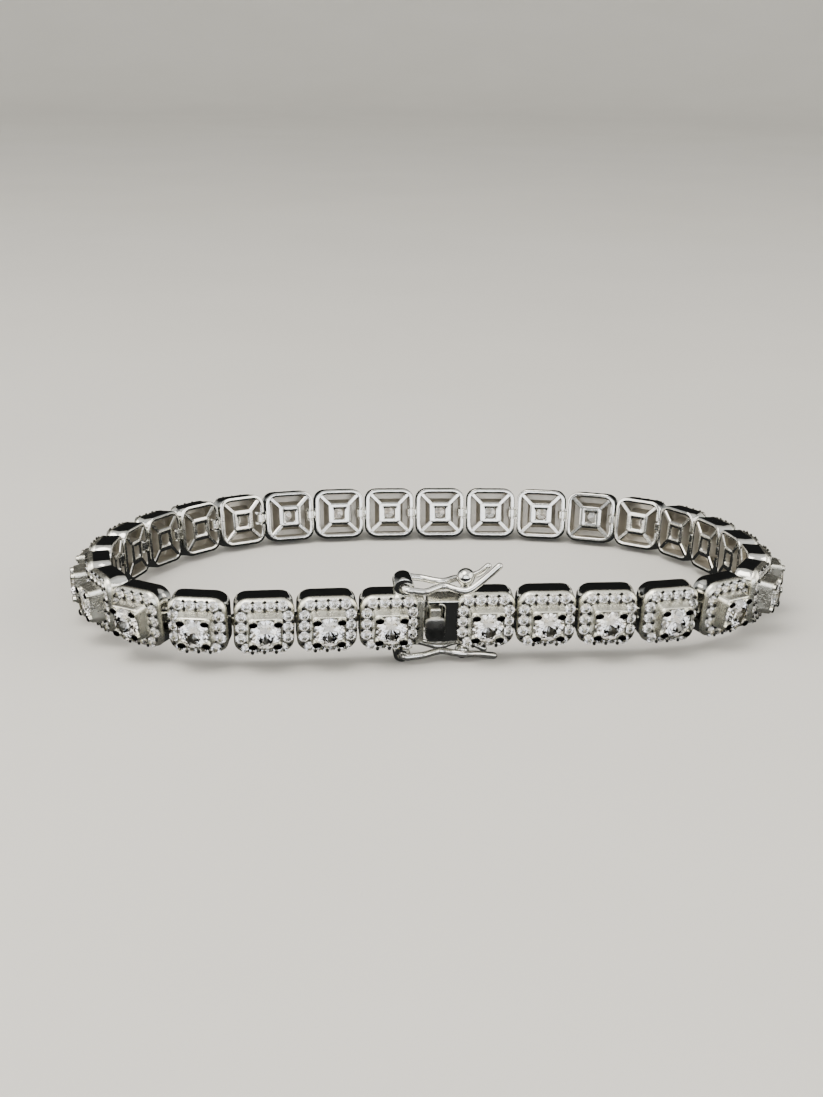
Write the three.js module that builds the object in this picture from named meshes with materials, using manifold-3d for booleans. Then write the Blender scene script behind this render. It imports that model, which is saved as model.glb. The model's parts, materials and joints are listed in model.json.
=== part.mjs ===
// A tennis bracelet of thirty square halo links. Each link is a polished shell with a raised
// square collet, a round cut stone under four corner prongs and an open gallery behind. The
// links hinge on upright pins, and a box clasp with two figure-eight safety latches closes the
// loop. Millimetres, Z up. The bracelet rests on its lower edge, with the clasp at the front.

import * as THREE from 'three';
import { mergeVertices } from 'three/addons/utils/BufferGeometryUtils.js';
import Module from 'manifold-3d';

const wasm = await Module();
wasm.setup();

// The link. It is drawn in its own frame: x along the chain, y up its side and z out of its
// face, with z = 0 at the depth of the hinge pins and x = 0 at the middle of its shell.
const linkCount = 30;
const linkWidth = 5.6;
const linkHeight = 5.6;
const linkGap = 0.3;
const shellDepth = 2.4;
const shellCorner = 1.25;
const shellWall = 0.5;
const edgeBevel = 0.22;
const faceThickness = 0.6;

// The links lean outward as they stand on edge, more along the two long sides than at the ends.
const leanAlongSides = THREE.MathUtils.degToRad(11.5);
const leanAtEnds = THREE.MathUtils.degToRad(3);

// The raised collet, its stone and its prongs.
const colletSide = 3.25;
const colletRise = 1.35;
const girdleRadius = 1.48;
const crownHeight = 0.42;
const tableShare = 0.57;
const prongRadius = 0.34;
const prongTipRadius = 0.21;
const prongRise = 0.34;

// The open gallery behind the stone.
const galleryRingSide = 2.5;
const galleryHoleSide = 1.15;
const galleryRibWidth = 0.45;
const ribEndMargin = 1.1;
const galleryDepth = 0.5;

// The hinge between two links: a pin across a slot in one, and an eye on a tab of the other.
const pinRadius = 0.2;
const pinInset = 0.28;
const pinClearance = 0.15;
const eyeWall = 0.2;
const eyeBackMargin = 0.05;
const tabHeight = 0.9;
const tabThickness = 0.36;
const slotClearance = 0.25;

// The box clasp, between the last link and the first.
const claspGap = 3.5;
const boxLength = 2.75;
const boxHeight = 4.4;
const boxWall = 0.32;
const boxFaceSetback = 0.12;
const notchLength = 1.65;
const springThickness = 0.28;
const springClearance = 0.3;
const thumbNeckWidth = 1.0;
const thumbPadWidth = 1.9;
const thumbPadHeight = 2.3;
const thumbPadThickness = 0.5;
const thumbPadLead = 0.3;

// The safety latches. Each is one wire, bent double, that turns in a knuckle on the last link
// and closes round a ball stud on the first. The lower one lies closer to its link.
const latchWireRadius = 0.31;
const latchWireClearance = 0.15;
const ballSideClearance = 0.24;
const waistGap = 0.36;
const knuckleLength = 2.0;
const knuckleFromEdge = 1.25;
const studFromEdge = 0.85;
const studPostRadius = 0.42;
const latchReachPastStud = 3.05;
const latchRearShare = 0.72;
const latchRows = {
  upper: { side: 1, knuckleRadius: 0.95, ballRadius: 0.87, ballGap: 0.48, armGap: 0.32, tipRise: 2.1 },
  lower: { side: -1, knuckleRadius: 0.8, ballRadius: 0.72, ballGap: 0.24, armGap: 0.3, tipRise: 0.7 },
};

// The route of the hinge pins, seen from above, anticlockwise from the middle of the clasp. It
// is scaled until the links close the loop, so only its form counts. X right, Y away.
const routePoints = [
  [0.7, -19.1],
  [11.9, -18.2],
  [22.7, -17],
  [29.9, -13],
  [33, -4.8],
  [30.6, 7.4],
  [25, 16.2],
  [14, 20.5],
  [-0.1, 20.8],
  [-13.4, 19.3],
  [-23.4, 14.7],
  [-30.8, 4.5],
  [-32.8, -7.4],
  [-29.2, -17.4],
  [-21.3, -21.6],
  [-9.1, -20.4],
];

// Sizes that follow from those above.
const hingePitch = linkWidth + linkGap;
const eyeRadius = pinRadius + pinClearance + eyeWall;
const backZ = -(eyeRadius + eyeBackMargin);
const faceZ = backZ + shellDepth;
const cavityZ = faceZ - faceThickness;
const colletTopZ = faceZ + colletRise;
const middleZ = (backZ + faceZ) / 2;
const claspChord = claspGap + 2 * linkWidth + linkGap;

const mergeTolerance = 1e-4;
const outlineFacets = 2;
const hollowFacets = 1;
const wireSteps = 36;
const wireFacets = 3;

const metal = new THREE.MeshStandardMaterial({ color: 0xd9dbd6, roughness: 0.18, metalness: 1.0 });
const wireMetal = new THREE.MeshStandardMaterial({ color: 0xe0e1dc, roughness: 0.12, metalness: 1.0 });

// A closed three.js geometry becomes a solid that can be joined and cut.
function toSolid(geometry) {
  const bare = geometry.clone();
  bare.deleteAttribute('normal');
  bare.deleteAttribute('uv');
  const merged = mergeVertices(bare, 1e-5);
  const vertProperties = new Float32Array(merged.attributes.position.array);
  const triVerts = new Uint32Array(merged.index.array);
  return new wasm.Manifold(new wasm.Mesh({ numProp: 3, vertProperties, triVerts }));
}

// The solid's mesh, with faces that lie in one plane drawn with as few triangles as will do.
function toGeometry(whole) {
  const mesh = whole.asOriginal().simplify(mergeTolerance).getMesh();
  const geometry = new THREE.BufferGeometry();
  geometry.setAttribute('position', new THREE.BufferAttribute(mesh.vertProperties, 3));
  geometry.setIndex(new THREE.BufferAttribute(mesh.triVerts, 1));
  geometry.computeVertexNormals();
  return geometry;
}

function join(solids) {
  return solids.reduce((whole, solid) => whole.add(solid));
}

// A box given by its lowest and highest corners.
function block(low, high) {
  const size = high.map((value, axis) => value - low[axis]);
  const geometry = new THREE.BoxGeometry(...size);
  geometry.translate(...low.map((value, axis) => value + size[axis] / 2));
  return toSolid(geometry);
}

// A round bar along the link's upright y axis, or turned to lie along z.
function bar(radius, from, to, sides, alongZ = false) {
  const geometry = new THREE.CylinderGeometry(radius, radius, to - from, sides);
  geometry.translate(0, (from + to) / 2, 0);
  if (alongZ) geometry.rotateX(Math.PI / 2);
  return toSolid(geometry);
}

// A square outline with rounded corners, each drawn with a few straight facets.
function cushionShape(width, height, corner, facets) {
  const points = [];
  const quarter = Math.PI / 2;
  for (let turn = 0; turn < 4; turn += 1) {
    const signX = turn === 0 || turn === 3 ? 1 : -1;
    const signY = turn < 2 ? 1 : -1;
    for (let step = 0; step <= facets; step += 1) {
      const angle = turn * quarter + (step / facets) * quarter;
      const x = signX * (width / 2 - corner) + corner * Math.cos(angle);
      const y = signY * (height / 2 - corner) + corner * Math.sin(angle);
      points.push(new THREE.Vector2(x, y));
    }
  }
  return new THREE.Shape(points);
}

// The shell is a cushion block with both rims bevelled, hollowed from behind.
function shell() {
  const outline = cushionShape(linkWidth, linkHeight, shellCorner, outlineFacets);
  const outer = new THREE.ExtrudeGeometry(outline, {
    depth: shellDepth - 2 * edgeBevel,
    bevelEnabled: true,
    bevelThickness: edgeBevel,
    bevelSize: edgeBevel,
    bevelOffset: -edgeBevel,
    bevelSegments: 1,
    steps: 1,
  });
  outer.translate(0, 0, backZ + edgeBevel);
  const hollowOutline = cushionShape(
    linkWidth - 2 * shellWall,
    linkHeight - 2 * shellWall,
    shellCorner - shellWall / 2,
    hollowFacets,
  );
  const overcut = shellWall;
  const hollow = new THREE.ExtrudeGeometry(hollowOutline, {
    depth: cavityZ - backZ + overcut,
    bevelEnabled: false,
  });
  hollow.translate(0, 0, backZ - overcut);
  return toSolid(outer).subtract(toSolid(hollow));
}

// The collet is a square box with the stone let into its top.
function collet() {
  const half = colletSide / 2;
  const seat = (cavityZ + faceZ) / 2;
  return block([-half, -half, seat], [half, half, colletTopZ]);
}

// The visible crown of a round cut stone: eight main facets that rise to the table.
function stone() {
  const sunk = crownHeight / 6;
  const geometry = new THREE.CylinderGeometry(
    girdleRadius * tableShare,
    girdleRadius * (1 + (sunk / crownHeight) * (1 - tableShare)),
    crownHeight + sunk,
    8,
  );
  geometry.rotateX(Math.PI / 2);
  geometry.translate(0, 0, colletTopZ + (crownHeight - sunk) / 2);
  return toSolid(geometry);
}

function prongs() {
  const reach = colletSide / 2 - prongRadius;
  const solids = [];
  for (const signX of [-1, 1]) {
    for (const signY of [-1, 1]) {
      const geometry = new THREE.CylinderGeometry(prongTipRadius, prongRadius, 2 * prongRise, 4);
      geometry.rotateX(Math.PI / 2);
      geometry.translate(signX * reach, signY * reach, colletTopZ);
      solids.push(toSolid(geometry));
    }
  }
  return join(solids);
}

// Behind the collet stands a square ring, held by a diagonal rib to each corner of the rim.
function gallery() {
  const half = galleryRingSide / 2;
  const ring = block([-half, -half, backZ], [half, half, (cavityZ + faceZ) / 2]);
  const ribReach = Math.hypot(linkWidth / 2, linkHeight / 2) - ribEndMargin;
  const rib = new THREE.BoxGeometry(2 * ribReach, galleryRibWidth, galleryDepth);
  rib.translate(0, 0, backZ + galleryDepth / 2);
  const rising = rib.clone().rotateZ(Math.atan2(linkHeight, linkWidth));
  const falling = rib.clone().rotateZ(-Math.atan2(linkHeight, linkWidth));
  return join([ring, toSolid(rising), toSolid(falling)]);
}

function galleryHole() {
  const half = galleryHoleSide / 2;
  return block([-half, -half, backZ - shellWall], [half, half, faceZ]);
}

// The side of the link that carries a pin across an open slot.
function pinSlot() {
  const halfSlot = tabHeight / 2 + slotClearance;
  const sideX = -linkWidth / 2;
  return block(
    [sideX - shellWall, -halfSlot, backZ - shellWall],
    [sideX + shellWall + pinClearance, halfSlot, eyeRadius + slotClearance],
  );
}

function pin() {
  const reach = tabHeight / 2 + slotClearance + pinRadius;
  return bar(pinRadius, -reach, reach, 5).translate([-linkWidth / 2 + pinInset, 0, 0]);
}

// The other side carries a tab that ends in an eye round the next link's pin.
function eyeTab() {
  const eyeX = linkWidth / 2 + linkGap + pinInset;
  const half = tabHeight / 2;
  const eye = bar(eyeRadius, -half, half, 10).translate([eyeX, 0, 0]);
  const tab = block(
    [linkWidth / 2 - shellWall / 2, -half, -tabThickness / 2],
    [eyeX, half, tabThickness / 2],
  );
  const bore = bar(pinRadius + pinClearance, -tabHeight, tabHeight, 6).translate([eyeX, 0, 0]);
  return eye.add(tab).subtract(bore);
}

function linkSolid({ hasPin, hasEye }) {
  let solid = join([shell(), collet(), gallery()]).subtract(galleryHole());
  solid = join([solid, stone(), prongs()]);
  if (hasPin) solid = solid.subtract(pinSlot()).add(pin());
  if (hasEye) solid = solid.add(eyeTab());
  return solid;
}

// The clasp is drawn in a frame like a link's, with x = 0 at the middle of the clasp gap.
const firstLinkX = (claspGap + linkWidth) / 2;
const lastLinkX = -firstLinkX;
const boxBackZ = backZ + boxFaceSetback;
const boxFrontZ = faceZ - boxFaceSetback;

// The box is soldered to the first link. Its left end is open for the tongue, and its face has
// a notch for the thumb piece.
function claspBox() {
  const right = claspGap / 2 + shellWall / 2;
  const left = claspGap / 2 - boxLength;
  const half = boxHeight / 2;
  const outer = block([left, -half, boxBackZ], [right, half, boxFrontZ]);
  const inside = block(
    [left - boxWall, -half + boxWall, boxBackZ + boxWall],
    [claspGap / 2 - boxWall, half - boxWall, boxFrontZ - boxWall],
  );
  const notch = block(
    [left - boxWall, -half + boxWall, boxFrontZ - 2 * boxWall],
    [left + notchLength, half - boxWall, boxFrontZ + boxWall],
  );
  return outer.subtract(inside).subtract(notch);
}

// The tongue is a strip soldered to the last link and folded back on itself as a spring. Its
// free end carries the thumb piece.
function claspTongue() {
  const base = lastLinkX + linkWidth / 2 - shellWall / 2;
  const foldEnd = claspGap / 2 - boxWall - springClearance;
  const boxLeft = claspGap / 2 - boxLength;
  const low = boxBackZ + boxWall + springClearance;
  const high = boxFrontZ - boxWall - springClearance;
  const half = boxHeight / 2 - boxWall - springClearance;
  const neckLeft = boxLeft + (notchLength - springClearance - thumbNeckWidth) / 2;
  const lowerLeaf = block([base, -half, low], [foldEnd, half, low + springThickness]);
  const upperLeaf = block([neckLeft, -half, high - springThickness], [foldEnd, half, high]);
  const fold = block([foldEnd - springThickness, -half, low], [foldEnd, half, high]);
  const padBack = boxFrontZ + thumbPadLead;
  const neck = block(
    [neckLeft, -half, high - springThickness / 2],
    [neckLeft + thumbNeckWidth, half, padBack + thumbPadThickness],
  );
  const padShape = cushionShape(thumbPadWidth, thumbPadHeight, thumbPadWidth / 4, outlineFacets);
  const pad = new THREE.ExtrudeGeometry(padShape, { depth: thumbPadThickness, bevelEnabled: false });
  const padX = neckLeft + thumbNeckWidth / 2;
  pad.translate(padX, thumbPadHeight / 2 - half, padBack);
  return join([lowerLeaf, upperLeaf, fold, neck, toSolid(pad)]);
}

// A plate soldered to the last link's side carries the tongue.
function claspEndPlate() {
  const left = lastLinkX + linkWidth / 2 - shellWall / 2;
  const right = claspGap / 2 - boxLength - springClearance;
  const half = boxHeight / 2;
  return block([left, -half, boxBackZ], [right, half, boxFrontZ]);
}

const knuckleX = lastLinkX + knuckleFromEdge;
const studX = firstLinkX - linkWidth / 2 + studFromEdge;

// The height of a knuckle's axis over the middle of the link's side, with the tube let into it.
function knuckleHeight(row) {
  const sunk = row.knuckleRadius / 8;
  return linkHeight / 2 + row.knuckleRadius - sunk;
}

function knuckle(row) {
  const from = middleZ - knuckleLength / 2;
  const to = middleZ + knuckleLength / 2;
  const tube = bar(row.knuckleRadius, from, to, 12, true);
  const boreRadius = latchWireRadius + latchWireClearance;
  const bore = bar(boreRadius, from - boreRadius, to + boreRadius, 8, true);
  const position = [knuckleX, row.side * knuckleHeight(row), 0];
  return { tube: tube.translate(position), bore: bore.translate(position) };
}

function ballHeight(row) {
  return linkHeight / 2 + row.ballGap + row.ballRadius;
}

function ballStud(row) {
  const ball = new THREE.SphereGeometry(row.ballRadius, 10, 6);
  const height = row.side * ballHeight(row);
  const foot = row.side * (linkHeight / 2 - shellWall / 2);
  const low = Math.min(height, foot);
  const high = Math.max(height, foot);
  const post = bar(studPostRadius, low, high, 8);
  const solid = toSolid(ball).translate([0, height, 0]).add(post);
  return solid.translate([studX, 0, middleZ]);
}

// The wire's path, from the front tip through the knuckle to the rear tip, in a frame with its
// origin on the knuckle's axis. Heights are worked out from the link's side, where the wire
// clears it, and spreads from the stud, whose ball it clears as it swings.
function latchPath(row) {
  const axisHeight = knuckleHeight(row);
  const armHeight = linkHeight / 2 + row.armGap + latchWireRadius - axisHeight;
  const reach = studX - knuckleX;
  const bend = knuckleLength / 2 + latchWireRadius + latchWireClearance;
  const studSpread = row.ballRadius + latchWireRadius + ballSideClearance;
  const waistSpread = latchWireRadius + waistGap / 2;
  const kneeSpread = (bend + studSpread) / 2;
  const arm = (tipLength, tipLift) => [
    [0, 0, knuckleLength / 4],
    [0, 0, knuckleLength / 2],
    [latchWireRadius, 0, bend],
    [0.16 * reach, 0.4 * armHeight, bend],
    [0.32 * reach, armHeight, kneeSpread],
    [0.64 * reach, armHeight + 0.2 * latchWireRadius, waistSpread],
    [0.84 * reach, armHeight, 0.8 * studSpread],
    [reach, armHeight, studSpread],
    [reach + 0.45 * latchReachPastStud, armHeight + 0.36 * tipLift, 0.72 * studSpread],
    [reach + tipLength, armHeight + tipLift, 0.42 * studSpread],
  ];
  const front = arm(latchReachPastStud, row.tipRise);
  const rear = arm(latchRearShare * latchReachPastStud, latchRearShare * row.tipRise);
  const place = ([x, y, z], face) => new THREE.Vector3(x, row.side * y, face * z);
  return [
    ...front.toReversed().map((point) => place(point, 1)),
    ...rear.map((point) => place(point, -1)),
  ];
}

function latchGeometry(row) {
  const curve = new THREE.CatmullRomCurve3(latchPath(row), false, 'centripetal');
  const section = new THREE.Shape();
  section.absarc(0, 0, latchWireRadius, 0, 2 * Math.PI, false);
  return new THREE.ExtrudeGeometry(section, {
    steps: wireSteps,
    curveSegments: wireFacets,
    bevelEnabled: false,
    extrudePath: curve,
  });
}

// Halves a span until no number is left between its ends, and gives the place in it where the
// test stops holding.
function turningPoint(start, end, holds) {
  let low = start;
  let high = end;
  let middle = (low + high) / 2;
  while (middle > low && middle < high) {
    if (holds(middle)) low = middle;
    else high = middle;
    middle = (low + high) / 2;
  }
  return middle;
}

// The chain is walked round the route in straight steps from pin to pin. A step ends where the
// route is one chord away from its start.
function stepAlong(route, from, chord) {
  const start = route.getPoint(from % 1);
  const isShort = (place) => route.getPoint(place % 1).distanceTo(start) < chord;
  return turningPoint(from, from + 0.25, isShort);
}

function scaledRoute(scale) {
  const points = routePoints.map(([x, y]) => new THREE.Vector3(x * scale, y * scale, 0));
  return new THREE.CatmullRomCurve3(points, true, 'catmullrom', 0.5);
}

// The pins' places on the route, from the first link's own eye round to the last link's pin.
// The clasp's chord lies evenly about the route's first point.
function walk(scale) {
  const route = scaledRoute(scale);
  const middle = route.getPoint(0);
  const isShort = (place) => route.getPoint(place).distanceTo(middle) < claspChord / 2;
  const first = turningPoint(0, 0.25, isShort);
  const stations = [first];
  for (let link = 1; link < linkCount - 1; link += 1) {
    stations.push(stepAlong(route, stations.at(-1), hingePitch));
  }
  const end = stepAlong(route, stations.at(-1), claspChord);
  return { pins: stations.map((station) => route.getPoint(station % 1)), overrun: end - first - 1 };
}

// The route is scaled until the last step ends where the first began.
function closedChain() {
  const scale = turningPoint(0.3, 3, (guess) => walk(guess).overrun > 0);
  return walk(scale).pins;
}

// The frame of a piece that spans two pins: x along the chord, z outward and leaning down.
function chordFrame(from, to, setback) {
  const along = to.clone().sub(from).normalize();
  const level = new THREE.Vector3(along.y, -along.x, 0);
  const upright = new THREE.Vector3(0, 0, 1);
  const lean = leanAtEnds + (leanAlongSides - leanAtEnds) * along.x ** 2;
  const out = level.clone().multiplyScalar(Math.cos(lean)).addScaledVector(upright, -Math.sin(lean));
  const up = upright.clone().multiplyScalar(Math.cos(lean)).addScaledVector(level, Math.sin(lean));
  const frame = new THREE.Matrix4().makeBasis(along, up, out);
  return frame.setPosition(from.clone().lerp(to, 0.5).addScaledVector(along, setback));
}

function place(object, frame) {
  object.matrixAutoUpdate = false;
  object.matrix.copy(frame);
  return object;
}

function piece(name, geometry, material) {
  const mesh = new THREE.Mesh(geometry, material);
  mesh.name = name;
  return mesh;
}

// The clasp joins the last link, with the tongue and the knuckles, to the first, with the box
// and the studs.
function claspGroup() {
  const group = new THREE.Group();
  const rows = Object.entries(latchRows);
  let first = linkSolid({ hasPin: false, hasEye: true }).translate([firstLinkX, 0, 0]);
  first = join([first, claspBox(), ...rows.map(([, row]) => ballStud(row))]);
  let last = linkSolid({ hasPin: true, hasEye: false }).translate([lastLinkX, 0, 0]);
  last = join([last, claspEndPlate(), claspTongue()]);
  for (const [, row] of rows) {
    const { tube, bore } = knuckle(row);
    last = last.add(tube).subtract(bore);
  }
  group.add(piece('link_01_clasp_box', toGeometry(first), metal));
  group.add(piece(`link_${linkCount}_clasp_tongue`, toGeometry(last), metal));
  for (const [name, row] of rows) {
    const latch = piece(`safety_latch_${name}`, latchGeometry(row), wireMetal);
    latch.position.set(knuckleX, row.side * knuckleHeight(row), middleZ);
    group.add(latch);
  }
  return group;
}

function chain() {
  const ring = new THREE.Group();
  const pins = closedChain();
  const geometry = toGeometry(linkSolid({ hasPin: true, hasEye: true }));
  const setback = -(linkGap / 2 + pinInset);
  for (let link = 2; link < linkCount; link += 1) {
    const name = `link_${String(link).padStart(2, '0')}`;
    const frame = chordFrame(pins[link - 2], pins[link - 1], setback);
    ring.add(place(piece(name, geometry, metal), frame));
  }
  ring.add(place(claspGroup(), chordFrame(pins.at(-1), pins[0], setback)));
  return ring;
}

function worldPoints(object) {
  const points = [];
  object.updateMatrixWorld(true);
  object.traverse((part) => {
    if (!part.isMesh) return;
    const position = part.geometry.attributes.position;
    for (let index = 0; index < position.count; index += 1) {
      points.push(new THREE.Vector3().fromBufferAttribute(position, index).applyMatrix4(part.matrixWorld));
    }
  });
  return points;
}

// On a level surface the ring stands on the lower latch's ball in front and on its rear links,
// so it tips back until the lowest points in front and behind are level.
function restTilt(points) {
  const lowest = (angle, front) => {
    const side = points.filter((point) => (front ? point.y < 0 : point.y > 0));
    return Math.min(...side.map((point) => point.z * Math.cos(angle) + point.y * Math.sin(angle)));
  };
  const limit = THREE.MathUtils.degToRad(15);
  return turningPoint(-limit, limit, (angle) => lowest(angle, true) > lowest(angle, false));
}

const ring = chain();
ring.rotation.x = restTilt(worldPoints(ring));
const bracelet = new THREE.Group();
bracelet.name = 'tennis_bracelet';
bracelet.add(ring);
const extent = new THREE.Box3().setFromPoints(worldPoints(bracelet));
const middle = extent.getCenter(new THREE.Vector3());
ring.position.set(-middle.x, -middle.y, -extent.min.z);

export default bracelet;
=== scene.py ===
"""The looks of a tennis bracelet of thirty square halo links. Every mesh is drawn in millimetres
in the frame of its own link, clasp or latch, and then placed in the row's frame in metres."""

import json
import math

import bmesh
import bpy
from mathutils import Matrix, Vector


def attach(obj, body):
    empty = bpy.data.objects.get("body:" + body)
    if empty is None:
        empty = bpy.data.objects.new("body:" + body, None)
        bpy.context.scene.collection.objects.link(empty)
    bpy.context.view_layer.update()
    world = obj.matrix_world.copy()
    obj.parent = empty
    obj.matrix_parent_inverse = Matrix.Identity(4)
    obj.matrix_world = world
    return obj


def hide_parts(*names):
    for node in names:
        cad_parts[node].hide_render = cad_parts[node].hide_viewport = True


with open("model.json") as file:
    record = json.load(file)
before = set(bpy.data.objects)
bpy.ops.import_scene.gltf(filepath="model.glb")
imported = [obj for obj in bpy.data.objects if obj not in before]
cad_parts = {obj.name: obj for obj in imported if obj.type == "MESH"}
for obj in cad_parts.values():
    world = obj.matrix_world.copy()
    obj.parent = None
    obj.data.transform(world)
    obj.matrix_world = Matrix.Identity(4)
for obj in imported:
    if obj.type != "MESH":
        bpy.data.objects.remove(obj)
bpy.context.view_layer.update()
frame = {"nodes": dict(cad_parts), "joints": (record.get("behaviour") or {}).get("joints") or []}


# The links' bodies. Each is one cast and soldered silver body, rhodium plated and polished: a
# cushion-shaped shell, a plate for the halo, a raised collet and an open gallery behind it.
# The thirty are alike, but the first has no pin and the last no eye, because the clasp is there.
shell_half_x = 2.8
shell_half_y = 2.8
shell_corner = 1.25
back_z = -0.6
prong_reach = 1.15
pin_x = -2.52
eye_x = 3.38
link_reach = 3.93
tab_half = 0.45
rib_half = 0.225
prong_section = (0.43, 0.75)
bead_radius = 0.17
bead_z = 1.79
bead_offsets = (-0.41, 0.43)
halo_places = [
    *[(x, 2.24) for x in (-1.68, -0.56, 0.56, 1.68)],
    *[(2.2, y) for y in (1.13, 0.0, -1.13)],
    *[(x, -2.24) for x in (1.68, 0.56, -0.56, -1.68)],
    *[(-2.2, y) for y in (-1.13, 0.0, 1.13)],
]
mirror_silver = "EBEAE4"
worn_silver = "D6D6CF"
satin_silver = "FAF8EA"
satin_shade = "E8E4D2"
# The cast colours are darker than the silver's own: partly unbuffed cast skin, partly painted shade
# of the cavity.
cast_tone_and_painted_shade = "C2BDB2"
cast_dull_and_painted_shade = "9A958A"
# The tip colours are near black: a painted dark reflection on the prong tops and beads.
tip_painted_reflection = "353432"
tip_painted_reflection_deep = "1E1D1C"


def linear(hex_code):
    """An sRGB hex colour as linear RGBA."""
    parts = [int(hex_code[i : i + 2], 16) / 255 for i in (0, 2, 4)]
    return (*[p / 12.92 if p < 0.04045 else ((p + 0.055) / 1.055) ** 2.4 for p in parts], 1.0)


def add_node(tree, kind, inputs=None, **settings):
    """Adds a shader node. An input is given a value, or the output that feeds it."""
    node = tree.nodes.new(kind)
    for name, value in settings.items():
        setattr(node, name, value)
    for name, value in (inputs or {}).items():
        if isinstance(value, bpy.types.NodeSocket):
            tree.links.new(value, node.inputs[name])
        else:
            node.inputs[name].default_value = value
    return node


def new_material(name):
    """An empty material and its node tree, with the surface's coordinates in millimetres."""
    material = bpy.data.materials.new(name)
    material.use_nodes = True
    tree = material.node_tree
    tree.nodes.clear()
    place = add_node(tree, "ShaderNodeTexCoord").outputs["Object"]
    scale = {"Vector": place, "Scale": (1000, 1000, 1000)}
    return material, tree, add_node(tree, "ShaderNodeMapping", scale).outputs["Vector"]


def polished_metal(name, colours, roughnesses, scratch, metallic=1.0, grain=(2, 2, 22)):
    """Metal with wear that changes over a millimetre and fine polishing lines. Real lines are a
    few microns apart, too fine to show, so they are drawn a twentieth of a millimetre apart. A
    frosted skin scatters some of the light as paint does, so its metallic share is lower."""
    bright, dull = colours
    smoothest, roughest = roughnesses
    material, tree, place = new_material(name)
    wear = add_node(tree, "ShaderNodeTexNoise", {"Vector": place, "Scale": 0.9, "Detail": 3})
    lines_place = add_node(tree, "ShaderNodeMapping", {"Vector": place, "Scale": grain})
    lines = add_node(
        tree,
        "ShaderNodeTexNoise",
        {"Vector": lines_place.outputs["Vector"], "Scale": 1.0, "Detail": 2},
    )
    roughness = add_node(
        tree,
        "ShaderNodeMapRange",
        {
            "Value": wear.outputs["Fac"],
            "From Min": 0.3,
            "From Max": 0.7,
            "To Min": smoothest,
            "To Max": roughest,
        },
    )
    colour = add_node(tree, "ShaderNodeValToRGB", {"Fac": wear.outputs["Fac"]})
    colour.color_ramp.elements[0].color = linear(dull)
    colour.color_ramp.elements[1].color = linear(bright)
    colour.color_ramp.elements[1].position = 0.55
    bump = add_node(
        tree,
        "ShaderNodeBump",
        {"Height": lines.outputs["Fac"], "Strength": scratch, "Distance": 0.00002},
    )
    surface = add_node(
        tree,
        "ShaderNodeBsdfPrincipled",
        {
            "Base Color": colour.outputs["Color"],
            "Metallic": metallic,
            "Roughness": roughness.outputs["Result"],
            "Normal": bump.outputs["Normal"],
        },
    )
    add_node(tree, "ShaderNodeOutputMaterial", {"Surface": surface.outputs["BSDF"]})
    return material


def ring(half_x, half_y, corner, z, count=64):
    """A square outline with rounded corners, its points at even angles about the middle."""
    points = []
    for index in range(count):
        angle = 2 * math.pi * index / count
        c, s = abs(math.cos(angle)), abs(math.sin(angle))
        reach = min(half_x / max(c, 1e-9), half_y / max(s, 1e-9))
        centre_x, centre_y = half_x - corner, half_y - corner
        if c * reach > centre_x and s * reach > centre_y:
            along = c * centre_x + s * centre_y
            across = corner**2 - centre_x**2 - centre_y**2
            reach = along + math.sqrt(along**2 + across)
        points.append(Vector((reach * math.cos(angle), reach * math.sin(angle), z)))
    return points


def cushion(inset, z):
    """The shell's outline, drawn in by an even margin."""
    corner = max(shell_corner - 0.7 * inset, 0.3)
    return ring(shell_half_x - inset, shell_half_y - inset, corner, z)


def square(half, z, corner=0.3):
    return ring(half, half, corner, z)


def circle(radius, z):
    return ring(radius, radius, radius, z)


def loft(bm, rings, closed=False, capped=False):
    """Skins a row of outlines that all have the same number of points."""
    rows = [[bm.verts.new(point) for point in outline] for outline in rings]
    pairs = list(zip(rows, rows[1:]))
    if closed:
        pairs.append((rows[-1], rows[0]))
    for below, above in pairs:
        for i in range(len(below)):
            j = (i + 1) % len(below)
            bm.faces.new((below[i], below[j], above[j], above[i]))
    if capped:
        bm.faces.new(list(reversed(rows[0])))
        bm.faces.new(rows[-1])


def lathe(bm, profile, sides, place=Matrix(), closed=False):
    """Turns a profile of (radius, height) about the z axis of its place."""
    rings = []
    for radius, height in profile:
        turns = [2 * math.pi * i / sides for i in range(sides)]
        spokes = [Vector((radius * math.cos(a), radius * math.sin(a), height)) for a in turns]
        rings.append([place @ spoke for spoke in spokes])
    loft(bm, rings, closed=closed, capped=not closed)


def block(bm, low, high, bevel=0.0, segments=2):
    """A box between two corners, with its edges rounded."""
    part = bmesh.new()
    bmesh.ops.create_cube(part, size=1)
    low, high = Vector(low), Vector(high)
    size = Matrix.Diagonal((*(high - low), 1))
    part.transform(Matrix.Translation((low + high) / 2) @ size)
    if bevel:
        bmesh.ops.bevel(
            part, geom=part.edges[:], offset=bevel, segments=segments, affect="EDGES", profile=0.5
        )
    merge(bm, part)


def merge(bm, part):
    mesh = bpy.data.meshes.new("part")
    part.to_mesh(mesh)
    part.free()
    bm.from_mesh(mesh)
    bpy.data.meshes.remove(mesh)


def cut(bm, cutter):
    """What is left of one closed mesh where another has been taken away."""
    objects = []
    for name, source in (("kept", bm), ("cutter", cutter)):
        bmesh.ops.recalc_face_normals(source, faces=source.faces[:])
        mesh = bpy.data.meshes.new(name)
        source.to_mesh(mesh)
        source.free()
        objects.append(bpy.data.objects.new(name, mesh))
        bpy.context.scene.collection.objects.link(objects[-1])
    kept, taken = objects
    modifier = kept.modifiers.new("cut", "BOOLEAN")
    modifier.operation = "DIFFERENCE"
    modifier.solver = "EXACT"
    modifier.object = taken
    result = bmesh.new()
    result.from_object(kept, bpy.context.evaluated_depsgraph_get())
    for leftover in objects:
        mesh = leftover.data
        bpy.data.objects.remove(leftover)
        bpy.data.meshes.remove(mesh)
    return result


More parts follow.
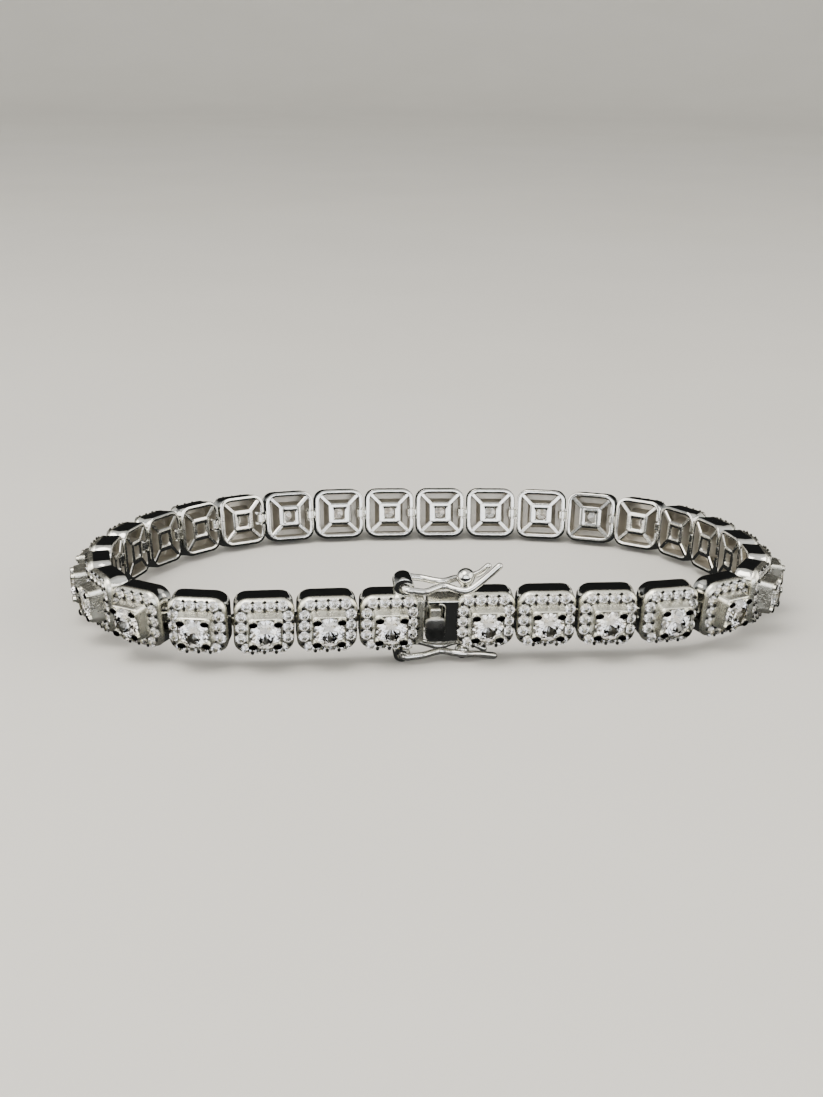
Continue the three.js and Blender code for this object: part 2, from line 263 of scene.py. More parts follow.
def make_mesh(name, bm, smooth_angle):
    """Turns a drawn form into a mesh, smooth but for edges sharper than the angle in degrees."""
    bmesh.ops.recalc_face_normals(bm, faces=bm.faces[:])
    mesh = bpy.data.meshes.new(name)
    bm.to_mesh(mesh)
    bm.free()
    mesh.polygons.foreach_set("use_smooth", [smooth_angle > 0] * len(mesh.polygons))
    if smooth_angle > 0:
        mesh.set_sharp_from_angle(angle=math.radians(smooth_angle))
    return mesh


def put(name, mesh, place, materials, body, node_name):
    """Places a copy of a mesh in the row's frame. It rides a body and stands for a CAD node."""
    copy = mesh.copy()
    copy.name = name
    copy.transform(place)
    for material in materials:
        copy.materials.append(material)
    piece = bpy.data.objects.new(name, copy)
    bpy.context.scene.collection.objects.link(piece)
    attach(piece, body)
    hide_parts(node_name)


def link_shell():
    """One closed skin: rim, side, halo plate, collet, the stone's seat, gallery ring, cavity."""
    rim = [cushion(0.4, -0.6), cushion(0.14, -0.6), cushion(0.05, -0.56), cushion(0, -0.46)]
    side = [cushion(0, 0.3), cushion(0, 1.06), cushion(-0.03, 1.12)]
    plate = [cushion(-0.03, 1.3), cushion(0.05, 1.5), cushion(0.18, 1.69), cushion(0.29, 1.76)]
    channel = [cushion(0.33, 1.66), square(1.72, 1.66)]
    wall = [square(1.69, 1.72), square(1.6, 3.0), square(1.57, 3.1), square(1.52, 3.14)]
    seat = [circle(1.5, 3.14), circle(1.47, 3.02), circle(1.15, 2.78), circle(0.8, 1.9)]
    shaft = [circle(0.62, 1.3)]
    hole = [square(0.575, 0.6, 0.15), square(0.575, -0.5, 0.15), square(0.62, -0.58, 0.15)]
    back = [square(0.68, -0.6), square(1.16, -0.6), square(1.23, -0.57), square(1.25, -0.5)]
    foot = [square(1.27, 0.2), square(1.58, 1.0), square(1.62, 1.2)]
    cavity = [cushion(0.6, 1.2), cushion(0.53, 1.12), cushion(0.5, -0.46), cushion(0.47, -0.56)]
    bm = bmesh.new()
    front = [*rim, *side, *plate, *channel, *wall, *seat]
    loft(bm, [*front, *shaft, *hole, *back, *foot, *cavity], closed=True)
    return bm


def finish_and_painted_shade_of(x, y, z):
    """0 for mirror polish, 1 for the satin plate and collet, 2 for the cavity: cast skin, darkened
    as painted shade.
    """
    if max(abs(x), abs(y)) < 2.34 and -0.53 < z < 1.22:
        return 2
    return 1 if z > 1.12 else 0


def link_metal(has_pin, has_eye):
    cutter = bmesh.new()
    for x, y in halo_places:
        seat = [(0.24, 1.28), (0.3, 1.35), (0.48, 1.6), (0.49, 1.9)]
        lathe(cutter, seat, 12, Matrix.Translation((x, y, 0)))
    if has_pin:
        block(cutter, (-3.3, -0.7, -1.1), (-2.15, 0.7, 0.8))
    bm = cut(link_shell(), cutter)
    for face in bm.faces:
        face.material_index = finish_and_painted_shade_of(*face.calc_center_median())
    for sign_x in (-1, 1):
        for sign_y in (-1, 1):
            corner = Matrix.Translation((sign_x * prong_reach, sign_y * prong_reach, 0))
            prong = bmesh.new()
            radius, flatness = prong_section
            rounding = [(0, 3.36), (0.01, 3.42), (0.07, 3.47), (0.23, 3.49), (0.41, 3.495)]
            tip = [(radius, 2.5), *[(radius - inset, z) for inset, z in rounding]]
            lathe(prong, tip, 20, corner @ Matrix.Diagonal((1, flatness, 1, 1)))
            # Above 3.43 mm the prong's rounded top takes the tip material: a painted dark
            # reflection.
            for face in prong.faces:
                face.material_index = 3 if face.calc_center_median().z > 3.43 else 1
            merge(bm, prong)
            rib = bmesh.new()
            side = [(-rib_half, -0.1), (-rib_half, -0.52), (-rib_half + 0.08, back_z)]
            section = [*side, *[(-y, z) for y, z in reversed(side)]]
            ends = [[Vector((reach, y, z)) for y, z in section] for reach in (1.45, 3.1)]
            loft(rib, ends, capped=True)
            heading = math.atan2(sign_y * shell_half_y, sign_x * shell_half_x)
            rib.transform(Matrix.Rotation(heading, 4, "Z"))
            merge(bm, rib)
    beads = zip(halo_places, halo_places[1:] + halo_places[:1])
    for (ax, ay), (bx, by) in beads:
        middle = Vector(((ax + bx) / 2, (ay + by) / 2, bead_z))
        out = Vector((by - ay, ax - bx, 0)).normalized()
        if out.dot(middle) < 0:
            out = -out
        for offset in bead_offsets:
            bead = bmesh.new()
            flat = Matrix.Translation(middle + offset * out) @ Matrix.Diagonal((1, 1, 0.75, 1))
            bmesh.ops.create_icosphere(bead, subdivisions=2, radius=bead_radius, matrix=flat)
            # Every bead takes the tip material: a painted dark reflection.
            for face in bead.faces:
                face.material_index = 3
            merge(bm, bead)
    upright = Matrix.Rotation(-math.pi / 2, 4, "X")
    if has_pin:
        lathe(bm, [(0.2, -0.85), (0.2, 0.85)], 10, Matrix.Translation((pin_x, 0, 0)) @ upright)
    if has_eye:
        end = [(0.35, -tab_half), (0.5, -tab_half), (0.55, -tab_half + 0.06)]
        barrel = [*end, *[(radius, -z) for radius, z in reversed(end)]]
        lathe(bm, barrel, 20, Matrix.Translation((eye_x, 0, 0)) @ upright, closed=True)
        block(bm, (2.5, -tab_half, -0.18), (2.95, tab_half, 0.18), 0.06)
    return make_mesh("link_metal", bm, 38)


def frame_of_link(node):
    """The place of a link's own frame, found from the flat faces and the reach of its CAD mesh.
    Its x runs along the chain, its y up the link's side and its z out of its face."""
    mesh = node.data
    areas = {}
    for polygon in mesh.polygons:
        key = tuple(round(value, 2) for value in polygon.normal)
        total, summed = areas.get(key, (0.0, Vector()))
        areas[key] = (total + polygon.area, summed + polygon.normal * polygon.area)
    largest = sorted(areas.values(), key=lambda entry: -entry[0])
    facings = [summed.normalized() for _, summed in largest]
    middle = sum((vertex.co for vertex in mesh.vertices), Vector()) / len(mesh.vertices)
    outward = Vector((middle.x, middle.y, 0)).normalized()
    out = next(facing for facing in facings if abs(facing.dot(outward)) > 0.5)
    if out.dot(outward) < 0:
        out = -out
    up = next(facing for facing in facings if abs(facing.dot(out)) < 0.02 and facing.z > 0.85)
    along = up.cross(out).normalized()
    reach = {axis: sorted(vertex.co.dot(direction) for vertex in mesh.vertices)
             for axis, direction in (("x", along), ("y", up), ("z", out))}
    origin = (
        along * (reach["x"][-1] - link_reach / 1000)
        + up * (reach["y"][0] + reach["y"][-1]) / 2
        + out * (reach["z"][0] - back_z / 1000)
    )
    return placement(origin, along, up, out)


def placement(origin, along, up, out):
    """The place of a frame given by its origin in metres and its axes, for forms in millimetres."""
    turned = Matrix((along, up, out)).transposed().to_4x4()
    return Matrix.Translation(origin) @ turned @ Matrix.Scale(0.001, 4)


# The clasp's own frame lies midway between its two links. It is found from the latches' hinges.
joints = {joint["name"]: joint for joint in frame["joints"]}
knuckle_x = -3.3
upper_knuckle_y = 3.63125
lower_knuckle_y = -3.5
middle_z = 0.6
clasp_link_x = 4.55

upper_hinge = Vector(joints["upper_latch_swing"]["pos_m"])
lower_hinge = Vector(joints["lower_latch_swing"]["pos_m"])
clasp_out = Vector(joints["upper_latch_swing"]["axis"]).normalized()
clasp_up = (upper_hinge - lower_hinge).normalized()
clasp_along = clasp_up.cross(clasp_out).normalized()
clasp_origin = upper_hinge - 0.001 * (
    clasp_along * knuckle_x + clasp_up * upper_knuckle_y + clasp_out * middle_z
)
clasp_place = placement(clasp_origin, clasp_along, clasp_up, clasp_out)

# Rhodium plate over buffed silver: a near mirror, so the sides show hard light and dark bands.
silver = polished_metal("rhodium_plated_silver", (mirror_silver, worn_silver), (0.05, 0.12), 0.25)
# Bright-cut silver round the stones: white with their light, and softer than a mirror.
satin = polished_metal("satin_halo_silver", (satin_silver, satin_shade), (0.18, 0.32), 0.6, 0.94)
# Silver as it left the mould, where no buff reaches: dull, warm and a little grainy, and darker as
# painted shade of the deep cavity.
cast_with_painted_shade = polished_metal("cast_cavity_silver_painted_shade", (cast_tone_and_painted_shade, cast_dull_and_painted_shade), (0.34, 0.46), 0.4, 0.75)
# The rounded tops of prongs and beads: polished silver painted near black with a glint, a painted
# reflection of a dark room overhead.
painted_dark_tips = polished_metal("painted_dark_reflection_tip_silver", (tip_painted_reflection, tip_painted_reflection_deep), (0.06, 0.14), 0.2)
link_places = {}
for node_name, node in frame["nodes"].items():
    if not node_name.startswith("link_"):
        continue
    number = int(node_name.split("_")[1])
    if number == 1:
        link_places[number] = clasp_place @ Matrix.Translation((clasp_link_x, 0, 0))
    elif number == 30:
        link_places[number] = clasp_place @ Matrix.Translation((-clasp_link_x, 0, 0))
    else:
        link_places[number] = frame_of_link(node)

link_meshes = {
    1: link_metal(has_pin=False, has_eye=True),
    30: link_metal(has_pin=True, has_eye=False),
}
middle_link = link_metal(has_pin=True, has_eye=True)
link_nodes = {1: "link_01_clasp_box", 30: "link_30_clasp_tongue"}
link_materials = (silver, satin, cast_with_painted_shade, painted_dark_tips)
for number, place in sorted(link_places.items()):
    node_name = link_nodes.get(number, f"link_{number:02d}")
    mesh = link_meshes.get(number, middle_link)
    name = f"link_body_{number:02d}"
    put(name, mesh, place, link_materials, "chain", node_name)


# The stones. Each link has a round brilliant of cubic zirconia in its collet and fourteen small
# ones in its halo, held by the prongs and the beads. Their facets are flat, with sharp edges.
centre_radius = 1.47
centre_crown = 0.42
centre_pavilion = 1.2
centre_girdle_z = 3.12
halo_radius = 0.53
small_crown = 0.16
small_pavilion = 0.42
small_girdle_z = 1.72
# Faint colours that the facets take by their direction: painted flashes of dispersed light.
painted_fire_tints = [
    ("FFFEFA", 0.0),
    ("EEF4FF", 0.42),
    ("FFF9E8", 0.5),
    ("E4E8F0", 0.58),
    ("FFF4F0", 0.66),
]


def brilliant(bm, centre, radius, crown, pavilion, table_share=0.57):
    """A round brilliant: table, star, kite and girdle facets, and a pavilion to the culet."""
    x0, y0, z0 = centre
    rim = 0.02 * radius
    top = crown - rim

    def at(turn, reach, height):
        angle = math.radians(22.5 * turn)
        x, y = reach * math.cos(angle), reach * math.sin(angle)
        return bm.verts.new((x0 + x, y0 + y, z0 + height))

    flat = math.cos(math.radians(22.5))
    table_radius = table_share * radius
    star_radius = 0.763 * radius
    star_drop = (star_radius * flat - table_radius) / (radius - table_radius)
    deep_radius = 0.27 * radius
    deep_drop = (radius - deep_radius * flat) / radius
    table = [at(2 * k, table_radius, crown) for k in range(8)]
    stars = [at(2 * k + 1, star_radius, crown - star_drop * top) for k in range(8)]
    girdle = [at(j, radius, rim) for j in range(16)]
    lower = [at(j, radius, -rim) for j in range(16)]
    deep = [at(2 * k + 1, deep_radius, -rim - deep_drop * (pavilion - rim)) for k in range(8)]
    culet = at(0, 0, -pavilion)
    bm.faces.new(table)
    for k in range(8):
        ahead = (k + 1) % 8
        main, half, after = 2 * k, 2 * k + 1, (2 * k + 2) % 16
        bm.faces.new((table[k], stars[k], table[ahead]))
        bm.faces.new((table[k], stars[k - 1], girdle[main], stars[k]))
        bm.faces.new((stars[k], girdle[main], girdle[half]))
        bm.faces.new((stars[k], girdle[half], girdle[after]))
        bm.faces.new((lower[main], deep[k - 1], culet, deep[k]))
        bm.faces.new((deep[k], lower[half], lower[main]))
        bm.faces.new((deep[k], lower[after], lower[half]))
    for j in range(16):
        ahead = (j + 1) % 16
        bm.faces.new((girdle[j], lower[j], lower[ahead], girdle[ahead]))


def cut_stone(name):
    """Cut and polished cubic zirconia: glass-clear and bright, with faint dust. The colour changes
    with each facet's direction: painted flashes of colour in place of a cut stone's dispersed
    light."""
    material, tree, place = new_material(name)
    facing = add_node(tree, "ShaderNodeNewGeometry").outputs["True Normal"]
    painted_fire_noise = add_node(tree, "ShaderNodeTexNoise", {"Vector": facing, "Scale": 4.0, "Detail": 1})
    painted_fire_tint = add_node(tree, "ShaderNodeValToRGB", {"Fac": painted_fire_noise.outputs["Fac"]})
    ramp = painted_fire_tint.color_ramp
    ramp.elements[0].color = linear(painted_fire_tints[0][0])
    ramp.elements[1].color = linear(painted_fire_tints[-1][0])
    ramp.elements[1].position = painted_fire_tints[-1][1]
    for hex_code, position in painted_fire_tints[1:-1]:
        ramp.elements.new(position).color = linear(hex_code)
    dust = add_node(tree, "ShaderNodeTexNoise", {"Vector": place, "Scale": 2.5, "Detail": 2})
    roughness = add_node(
        tree,
        "ShaderNodeMapRange",
        {
            "Value": dust.outputs["Fac"],
            "From Min": 0.4,
            "From Max": 0.8,
            "To Min": 0.0,
            "To Max": 0.03,
        },
    )
    surface = add_node(
        tree,
        "ShaderNodeBsdfPrincipled",
        {
            "Base Color": painted_fire_tint.outputs["Color"],
            "Roughness": roughness.outputs["Result"],
            "Transmission Weight": 1.0,
            "IOR": 2.15,
        },
    )
    add_node(tree, "ShaderNodeOutputMaterial", {"Surface": surface.outputs["BSDF"]})
    return material


stones = bmesh.new()
brilliant(stones, (0, 0, centre_girdle_z), centre_radius, centre_crown, centre_pavilion)
for x, y in halo_places:
    brilliant(stones, (x, y, small_girdle_z), halo_radius, small_crown, small_pavilion)
link_stones = make_mesh("link_stones", stones, 0)
zirconia = cut_stone("cubic_zirconia")
for number, place in sorted(link_places.items()):
    node_name = link_nodes.get(number, f"link_{number:02d}")
    name = f"link_stones_{number:02d}"
    put(name, link_stones, place, (zirconia,), "chain", node_name)


# The clasp's box, soldered to the first link: folded sheet with an open left end, and a rounded
# notch in its face for the thumb piece. Above and below stand the two studs with ball heads.
box_left = -1.0
box_right = 2.0
box_half = 2.2
box_back = -0.48
box_front = 1.68
box_wall = 0.32
notch_right = 0.65
notch_corner = 0.5
rim_radius = 0.07
stud_x = 2.6
upper_ball = (4.15, 0.87)
lower_ball = (3.76, 0.72)


def ball_stud(bm, side, height, radius):
    """A turned stud: a flared foot soldered to the link's side, a post and a ball."""
    foot = shell_half_y - 0.1
    profile = [(0.78, foot), (0.7, foot + 0.15), (0.52, foot + 0.3), (0.42, foot + 0.55)]
    for step in range(1, 13):
        angle = math.pi * (step / 12) - math.pi / 2
        if radius * math.cos(angle) > 0.42 or angle > 0:
            profile.append((max(radius * math.cos(angle), 0.01), height + radius * math.sin(angle)))
    turn = Matrix.Rotation(-side * math.pi / 2, 4, "X")
    lathe(bm, profile, 28, Matrix.Translation((stud_x, 0, middle_z)) @ turn)


def wire(bm, line, radius, sides=16):
    """Sweeps a round wire along a line, with filed round ends."""
    rings = []
    across = None
    for index, point in enumerate(line):
        ahead = line[min(index + 1, len(line) - 1)] - line[max(index - 1, 0)]
        ahead.normalize()
        if across is None:
            across = ahead.orthogonal().normalized()
        across = (across - ahead * across.dot(ahead)).normalized()
        other = ahead.cross(across)
        turns = [2 * math.pi * i / sides for i in range(sides)]
        spokes = [across * math.cos(a) + other * math.sin(a) for a in turns]
        if index in (0, len(line) - 1):
            outward = -1 if index == 0 else 1
            caps = [(1.0, 0.0), (0.86, 0.5), (0.55, 0.83), (0.15, 0.98)]
            ends = [(point + radius * outward * h * ahead, radius * r) for r, h in caps]
            rows = [[middle + reach * spoke for spoke in spokes] for middle, reach in ends]
            rings += rows[::-1] if index == 0 else rows
        else:
            rings.append([point + radius * s for s in spokes])
    loft(bm, rings, capped=True)


box = bmesh.new()
block(box, (box_left, -box_half, box_back), (box_right, box_half, box_front), 0.14, 3)
hollow = bmesh.new()
block(
    hollow,
    (box_left - 1, -box_half + box_wall, box_back + box_wall),
    (box_right - 0.57, box_half - box_wall, box_front - box_wall),
)
box = cut(box, hollow)
notch = bmesh.new()
notch_half = box_half - box_wall
bend_x = notch_right - notch_corner
notch_start = box_left - 0.5
notch_outline = [Vector((notch_start, -notch_half, 0)), Vector((bend_x, -notch_half, 0))]
for sign, centre_angle in ((-1, -90), (1, 0)):
    for step in range(1, 8):
        angle = math.radians(centre_angle + 90 * step / 8)
        corner = Vector((bend_x, sign * (notch_half - notch_corner), 0))
        spoke = Vector((math.cos(angle), math.sin(angle), 0))
        notch_outline.append(corner + notch_corner * spoke)
notch_outline += [Vector((bend_x, notch_half, 0)), Vector((notch_start, notch_half, 0))]
notch_levels = [[point + Vector((0, 0, z)) for point in notch_outline] for z in (1.2, 2.2)]
loft(notch, notch_levels, capped=True)
box = cut(box, notch)
for face in box.faces:
    face.material_index = 1 if abs(face.calc_center_median().y) > box_half - 0.1 else 0
rim = bmesh.new()
wire(rim, [point + Vector((0, 0, box_front)) for point in notch_outline[1:-1]], rim_radius, 8)
for face in rim.faces:
    face.material_index = 1
merge(box, rim)
ball_stud(box, 1, *upper_ball)
ball_stud(box, -1, *lower_ball)
put(
    "clasp_box_and_studs",
    make_mesh("clasp_box", box, 38),
    clasp_place,
    (silver, satin),
    "chain",
    "link_01_clasp_box",
)


# The clasp's tongue, soldered to the last link: an end plate, a strip folded back on itself as a
# spring, and the thumb piece that stands out of the notch. The latches' two knuckle tubes are
# soldered above and below it.
plate_right = -1.3
leaf_half = 1.58
fold_x = 1.13
leaf_low = 0.14
leaf_high = 1.06
leaf_thickness = 0.28
neck = (-0.825, 0.175)
pad_x = -0.325
pad_half = 0.95
pad_top = 0.72
pad_length = 1.15
knuckle_half = 1.0
# The brushed colours are a darker grey than silver: a painted dark reflection on the thumb pad.
brushed_silver_painted_dark = "C4C3BE"
brushed_painted_dark_deep = "83827E"
upper_tube = (upper_knuckle_y, 0.95)
lower_tube = (lower_knuckle_y, 0.8)


def knuckle_tube(bm, height, radius):
    """A tube that the latch's wire turns in, bedded on a saddle of solder."""
    bore = 0.46
    from_z, to_z = middle_z - knuckle_half, middle_z + knuckle_half
    soft = 0.12
    profile = [
        (bore, from_z + 0.06),
        (bore + 0.06, from_z),
        (radius - soft, from_z),
        (radius - 0.03, from_z + 0.04),
        (radius, from_z + soft),
        (radius, to_z - soft),
        (radius - 0.03, to_z - 0.04),
        (radius - soft, to_z),
        (bore + 0.06, to_z),
        (bore, to_z - 0.06),
    ]
    lathe(bm, profile, 32, Matrix.Translation((knuckle_x, height, 0)), closed=True)
    side = math.copysign(1, height)
    saddle = bmesh.new()
    flare = [(1.0, 1.15, 2.74), (0.82, 1.02, 2.86), (0.72, 0.93, 3.02)]
    steps = [*flare, (0.72, 0.88, abs(height) - bore)]
    rows = [ring(half_x, half_z, 0.3, y, 32) for half_x, half_z, y in steps]
    loft(saddle, rows, capped=True)
    turn = Matrix.Rotation(-side * math.pi / 2, 4, "X")
    saddle.transform(Matrix.Translation((knuckle_x, 0, middle_z)) @ turn)
    for face in saddle.faces:
        face.material_index = 1
    merge(bm, saddle)


# Silver filed along the thumb's push: a soft streak of light, broken by lines 0.06 mm apart, on a
# grey that is a painted dark reflection.
brushed_and_painted_dark = polished_metal(
    "brushed_thumb_silver_painted_dark", (brushed_silver_painted_dark, brushed_painted_dark_deep), (0.2, 0.36), 1.6, grain=(16, 3, 1.2)
)
tongue = bmesh.new()
blocks = [
    ((-2.05, -box_half - 0.1, box_back), (-1.78, box_half + 0.1, box_front + 0.06), 0.09),
    ((-1.85, -box_half, box_back + 0.05), (-1.6, box_half, box_front - 0.06), 0.03),
    ((-1.68, -box_half, box_back), (plate_right, box_half, box_front), 0.1),
    ((-1.5, -leaf_half, leaf_low), (fold_x, leaf_half, leaf_low + leaf_thickness), 0.06),
    ((neck[0], -leaf_half, leaf_high - leaf_thickness), (fold_x, leaf_half, leaf_high), 0.06),
    ((fold_x - leaf_thickness, -leaf_half, leaf_low), (fold_x, leaf_half, leaf_high), 0.1),
]
for low, high, bevel in blocks:
    block(tongue, low, high, bevel)
neck_part = bmesh.new()
block(neck_part, (neck[0], -leaf_half, 0.9), (neck[1], leaf_half, 2.12), 0.16, 3)
for face in neck_part.faces:
    face.material_index = 1
merge(tongue, neck_part)
pad = bmesh.new()
pad_levels = [
    (0.14, 0.36, 1.99),
    (0.0, 0.5, 2.1),
    (0.0, 0.5, 2.3),
    (0.05, 0.47, 2.41),
    (0.18, 0.4, 2.47),
]
pad_rows = [ring(pad_half - i, pad_length - i, corner, z, 48) for i, corner, z in pad_levels]
loft(pad, pad_rows, capped=True)
pad.transform(Matrix.Translation((pad_x, pad_top - pad_length, 0)))
# The thumb pad takes the brushed material, whose grey is a painted dark reflection.
for face in pad.faces:
    face.material_index = 2
merge(tongue, pad)
for face in tongue.faces:
    if face.calc_center_median().x < plate_right:
        face.material_index = 1
knuckle_tube(tongue, *upper_tube)
knuckle_tube(tongue, *lower_tube)
put(
    "clasp_tongue_and_knuckles",
    make_mesh("clasp_tongue", tongue, 38),
    clasp_place,
    (silver, satin, brushed_and_painted_dark),
    "chain",
    "link_30_clasp_tongue",
)


# The two safety latches. Each is one drawn silver wire, bent double in a figure eight, that
# turns in its knuckle and closes round the ball stud. The tips are filed round. The first
# radius lays out the bends, and the second, a little larger, is that of the wire as it looks.
wire_radius = 0.31
drawn_radius = 0.33
wire_bright = "ECEBE6"
wire_dull = "DAD9D2"
stud_reach = stud_x - knuckle_x
reach_past_stud = 3.05
latches = {
    "upper": {"side": 1, "axis": upper_knuckle_y, "ball": 0.87, "arm_gap": 0.32, "tip_rise": 2.1},
    "lower": {"side": -1, "axis": -lower_knuckle_y, "ball": 0.72, "arm_gap": 0.3, "tip_rise": 0.7},
}


def latch_points(row):
    """The wire's middle line, from the front tip through the knuckle to the rear tip."""
    arm = shell_half_y + row["arm_gap"] + wire_radius - row["axis"]
    bend = 1.0 + wire_radius + 0.15
    spread = row["ball"] + wire_radius + 0.24
    waist = wire_radius + 0.18

    def side_of(tip_length, tip_lift, face):
        rows = [
            (0, 0, 0.5),
            (0, 0, 1.0),
            (wire_radius, 0, bend),
            (0.16 * stud_reach, 0.4 * arm, bend),
            (0.32 * stud_reach, arm, (bend + spread) / 2),
            (0.64 * stud_reach, arm + 0.2 * wire_radius, waist),
            (0.84 * stud_reach, arm, 0.8 * spread),
            (stud_reach, arm, spread),
            (stud_reach + 0.45 * reach_past_stud, arm + 0.36 * tip_lift, 0.72 * spread),
            (stud_reach + tip_length, arm + tip_lift, 0.42 * spread),
        ]
        return [Vector((x, row["side"] * y, face * z)) for x, y, z in rows]

    front = side_of(reach_past_stud, row["tip_rise"], 1)
    rear = side_of(0.72 * reach_past_stud, 0.72 * row["tip_rise"], -1)
    return front[::-1] + rear


def smooth_line(points, per_span):
    """A centripetal Catmull-Rom line through the points."""
    ends = [2 * points[0] - points[1], *points, 2 * points[-1] - points[-2]]
    line = []
    for a, b, c, d in zip(ends, ends[1:], ends[2:], ends[3:]):
        t0 = 0.0
        t1 = t0 + (b - a).length ** 0.5
        t2 = t1 + (c - b).length ** 0.5
        t3 = t2 + (d - c).length ** 0.5
        for step in range(per_span):
            t = t1 + (t2 - t1) * step / per_span
            ab = a.lerp(b, (t - t0) / (t1 - t0))
            bc = b.lerp(c, (t - t1) / (t2 - t1))
            cd = c.lerp(d, (t - t2) / (t3 - t2))
            abc = ab.lerp(bc, (t - t0) / (t2 - t0))
            bcd = bc.lerp(cd, (t - t1) / (t3 - t1))
            line.append(abc.lerp(bcd, (t - t1) / (t2 - t1)))
    return [*line, points[-1]]


# Wire pulled through a die and tumbled: long smooth highlights, softer than the plated shells.
drawn_wire = polished_metal("drawn_silver_wire", (wire_bright, wire_dull), (0.1, 0.2), 0.2, 0.92)
for name, row in latches.items():
    latch = bmesh.new()
    wire(latch, smooth_line(latch_points(row), 8), drawn_radius)
    hinge = Vector(joints[f"{name}_latch_swing"]["pos_m"])
    place = placement(hinge, clasp_along, clasp_up, clasp_out)
    mesh = make_mesh("latch", latch, 50)
    node_name = f"safety_latch_{name}"
    put(f"latch_wire_{name}", mesh, place, (drawn_wire,), f"{name}_latch", node_name)


# The stage: a pale painted board under a wide soft ceiling light, a key lamp and soft lamps in
# front and at both sides. The board stays out of mirror reflections, which see a dark room
# instead, so polished silver and cut stones keep their contrast. It is level under the bracelet
# and sweeps up all round it, so no horizon shows. None of it is part of the object.
table_light = "E9E7E2"
table_dark = "E0DED8"
room_tone = "B4B6B6"
dark_direction = (0.05, 0.9, 0.44)
sweep_start = 0.8
sweep_radius = 0.6
board_top = 2.0


def table_top(name):
    """Board painted with a roller: matt, faintly cloudy, with a grain of about 0.7 mm."""
    material, tree, place = new_material(name)
    cloud = add_node(tree, "ShaderNodeTexNoise", {"Vector": place, "Scale": 0.02, "Detail": 4})
    colour = add_node(tree, "ShaderNodeValToRGB", {"Fac": cloud.outputs["Fac"]})
    colour.color_ramp.elements[0].color = linear(table_dark)
    colour.color_ramp.elements[1].color = linear(table_light)
    grain = add_node(tree, "ShaderNodeTexNoise", {"Vector": place, "Scale": 1.5, "Detail": 2})
    bump = add_node(
        tree,
        "ShaderNodeBump",
        {"Height": grain.outputs["Fac"], "Strength": 0.05, "Distance": 0.0001},
    )
    surface = add_node(
        tree,
        "ShaderNodeBsdfPrincipled",
        {"Base Color": colour.outputs["Color"], "Roughness": 0.6, "Normal": bump.outputs["Normal"]},
    )
    add_node(tree, "ShaderNodeOutputMaterial", {"Surface": surface.outputs["BSDF"]})
    return material


def lamp(name, place, aim, size, watts, colour):
    data = bpy.data.lights.new(name, "AREA")
    data.shape = "RECTANGLE"
    data.size, data.size_y = size
    data.energy = watts
    data.color = linear(colour)[:3]
    item = bpy.data.objects.new(name, data)
    item.location = place
    item.rotation_euler = (Vector(aim) - Vector(place)).to_track_quat("-Z", "Y").to_euler()
    bpy.context.scene.collection.objects.link(item)


board_profile = [(0.2, 0.0), (sweep_start, 0.0)]
for step in range(1, 25):
    angle = math.radians(90 * step / 24)
    radius = sweep_start + sweep_radius * math.sin(angle)
    board_profile.append((radius, sweep_radius * (1 - math.cos(angle))))
board_profile.append((sweep_start + sweep_radius, board_top))
board_rings = [circle(radius, height) for radius, height in board_profile]
board = bmesh.new()
loft(board, board_rings)
board.verts.ensure_lookup_table()
board.faces.new(board.verts[: len(board_rings[0])])
board_mesh = make_mesh("table_board", board, 60)
board_mesh.materials.append(table_top("painted_table_board"))
table_board = bpy.data.objects.new("table_board", board_mesh)
bpy.context.scene.collection.objects.link(table_board)
table_board.visible_glossy = False

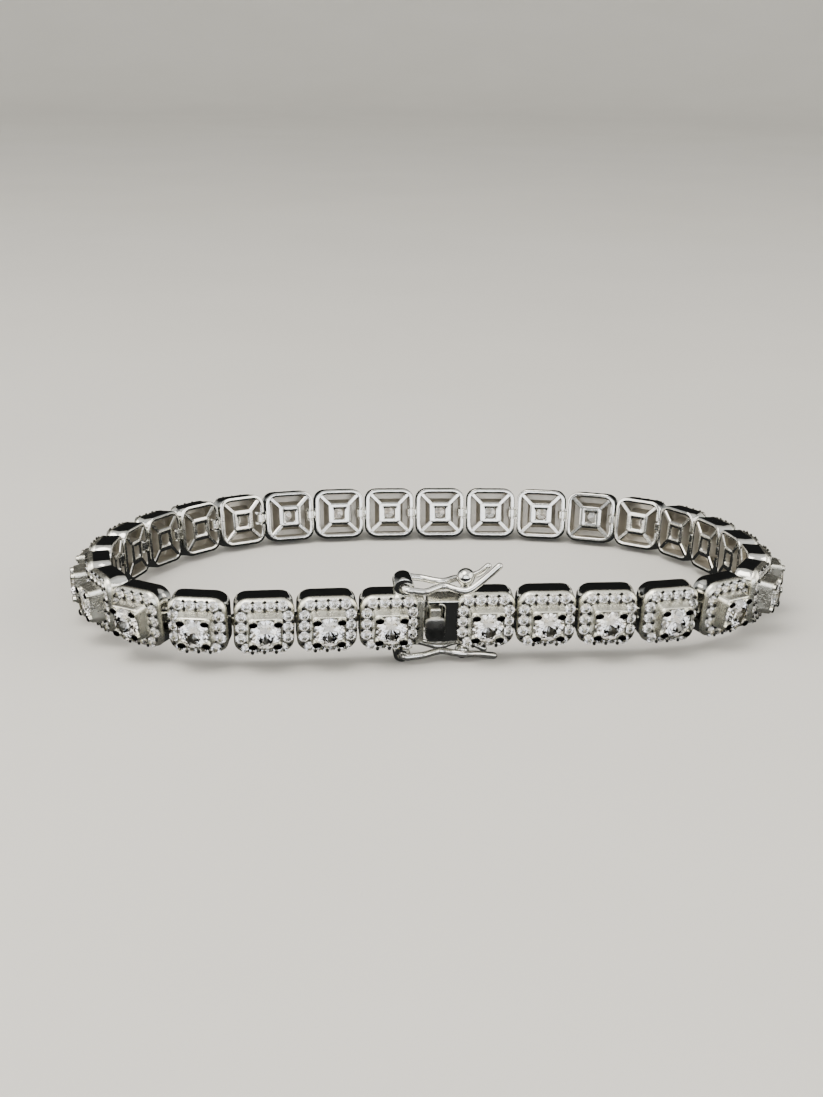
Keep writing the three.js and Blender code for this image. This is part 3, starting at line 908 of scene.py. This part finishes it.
world = bpy.data.worlds.new("soft_room")
bpy.context.scene.world = world
world.use_nodes = True
world.node_tree.nodes.clear()
tree = world.node_tree
direction = add_node(tree, "ShaderNodeTexCoord").outputs["Generated"]
towards = add_node(tree, "ShaderNodeVectorMath", operation="DOT_PRODUCT")
tree.links.new(direction, towards.inputs[0])
towards.inputs[1].default_value = dark_direction
shade = add_node(
    tree,
    "ShaderNodeMapRange",
    {
        "Value": towards.outputs["Value"],
        "From Min": 0.55,
        "From Max": 0.8,
        "To Min": 1.0,
        "To Max": 0.03,
    },
)
height = add_node(tree, "ShaderNodeSeparateXYZ", {"Vector": direction})
above_table = add_node(
    tree,
    "ShaderNodeMapRange",
    {
        "Value": height.outputs["Z"],
        "From Min": -0.06,
        "From Max": 0.02,
        "To Min": 0.06,
        "To Max": 1.0,
    },
)
strength = add_node(tree, "ShaderNodeMath", operation="MULTIPLY")
tree.links.new(shade.outputs["Result"], strength.inputs[0])
tree.links.new(above_table.outputs["Result"], strength.inputs[1])
sky = add_node(
    tree,
    "ShaderNodeBackground",
    {"Color": linear(room_tone), "Strength": strength.outputs["Value"]},
)
add_node(tree, "ShaderNodeOutputWorld", {"Surface": sky.outputs["Background"]})

lamp("ceiling_light", (0, -0.3, 2.2), (0, -0.3, 0), (4, 4), 26, "FFFDF8")
lamp("key_lamp", (-0.14, -0.14, 0.42), (0, 0, 0), (0.3, 0.3), 1.7, "FFF9F0")
lamp("front_lamp", (0.04, -0.6, 0.16), (0, 0, 0.005), (0.7, 0.28), 1.8, "F8FAFF")
lamp("left_lamp", (-0.55, -0.14, 0.24), (0, 0, 0.005), (0.6, 0.46), 2.4, "FFFBF4")
lamp("right_lamp", (0.55, -0.14, 0.24), (0, 0, 0.005), (0.6, 0.46), 2.4, "FFFBF4")


# The camera, at the photograph's own angle above the table.
lens_mm = 59.36
distance_mm = 190.21
elevation_deg = 16.991
azimuth_deg = 0.887
roll_deg = 0.681
target_mm = (-1.852, 0, 5.148)

elevation, azimuth, roll = (math.radians(v) for v in (elevation_deg, azimuth_deg, roll_deg))
ahead = Vector((math.sin(azimuth), math.cos(azimuth), 0))
forward = math.cos(elevation) * ahead - math.sin(elevation) * Vector((0, 0, 1))
level = Vector((math.cos(azimuth), -math.sin(azimuth), 0))
above = level.cross(forward)
right = math.cos(roll) * level + math.sin(roll) * above
upward = math.cos(roll) * above - math.sin(roll) * level
camera_data = bpy.data.cameras.new("camera")
camera_data.lens = lens_mm
camera_data.sensor_width = 36
camera_data.clip_start = 0.001
camera_data.clip_end = 20
camera = bpy.data.objects.new("camera", camera_data)
camera.matrix_world = Matrix.Translation(
    (Vector(target_mm) - distance_mm * forward) / 1000
) @ Matrix((right, upward, -forward)).transposed().to_4x4()
bpy.context.scene.collection.objects.link(camera)
bpy.context.scene.camera = camera
